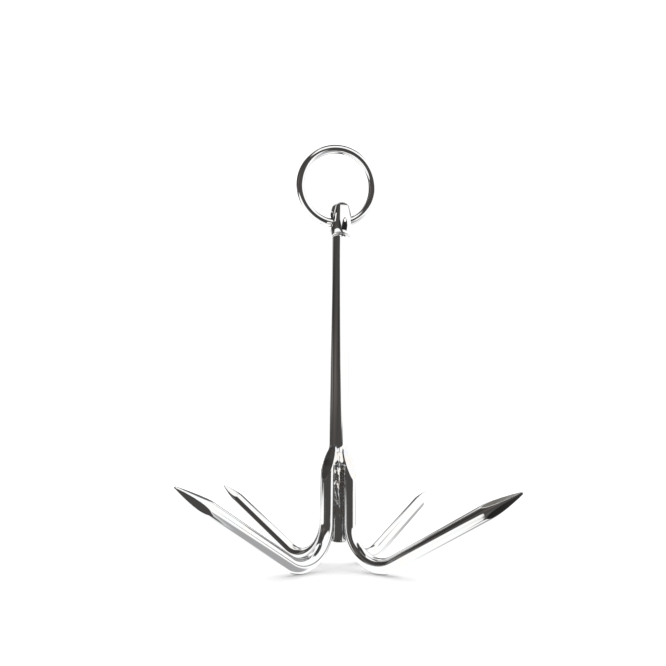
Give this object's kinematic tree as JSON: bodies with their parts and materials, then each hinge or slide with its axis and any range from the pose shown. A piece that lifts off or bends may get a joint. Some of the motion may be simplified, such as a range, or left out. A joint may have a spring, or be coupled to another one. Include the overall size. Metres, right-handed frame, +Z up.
{
  "type": "grapnel anchor",
  "caption": "Fixed grapnel boat anchor: straight round shank with a domed eye head and a loose swinging ring, and pointed round arms bent outwards and upwards from the crown.",
  "frame": {"origin": "on the shank's axis, at the level of the elbows' lowest points, on which the anchor stands", "axes": "+Z up along the shank towards the ring, +X along the right arm, +Y along the back arm"},
  "size_m": [0.29, 0.29, 0.3592],
  "materials": {
    "shank_steel": "mirror-polished stainless steel rod",
    "arm_steel": "polished stainless steel rod with ground points",
    "head_steel": "mirror-polished turned stainless steel",
    "ring_steel": "mirror-polished stainless steel wire",
    "weld_steel": "ground and brushed stainless weld bead"
  },
  "bodies": {
    "anchor": {"shank": "shank_steel", "arm_right": "arm_steel", "arm_back": "arm_steel", "arm_left": "arm_steel", "arm_front": "arm_steel", "eye_head": "head_steel", "head_weld": "weld_steel", "root_weld": "weld_steel", "seam_weld_1": "weld_steel", "seam_weld_2": "weld_steel", "seam_weld_3": "weld_steel", "seam_weld_4": "weld_steel", "toe_weld_1": "weld_steel", "toe_weld_2": "weld_steel", "toe_weld_3": "weld_steel", "toe_weld_4": "weld_steel"},
    "swinging_ring": {"ring": "ring_steel", "ring_weld": "ring_steel"}
  },
  "joints": [
    {"name": "ring_swing", "type": "hinge", "parent": "anchor", "child": "swinging_ring", "pos_m": [0, 0, 0.293], "axis": [0.6157, 0.788, 0], "range_deg": [-185, 145]}
  ]
}
